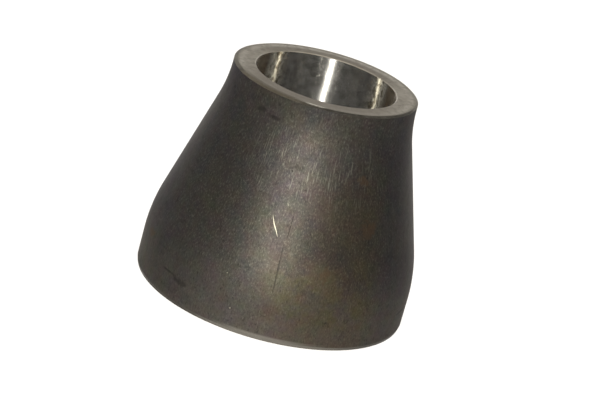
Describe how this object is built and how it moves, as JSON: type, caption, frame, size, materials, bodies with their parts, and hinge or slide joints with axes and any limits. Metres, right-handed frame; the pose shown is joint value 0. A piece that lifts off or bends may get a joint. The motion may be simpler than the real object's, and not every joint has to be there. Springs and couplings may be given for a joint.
{
  "type": "butt weld reducer",
  "caption": "Concentric butt weld pipe reducer: a heavy-wall steel ogee between a large and a small pipe end, with turned bores and square-cut ends.",
  "frame": {"origin": "centre of the large end's face, which is the lowest plane of the part", "axes": "+Z along the common axis of both ends, from the large end to the small end; X and Y are interchangeable"},
  "size_m": [0.1683, 0.1682, 0.14],
  "materials": {
    "carbon_steel": "dark satin mill scale on the forged skin, turned grey metal on the end faces and bores"
  },
  "bodies": {
    "root": {"reducer_body": "carbon_steel"}
  },
  "joints": []
}
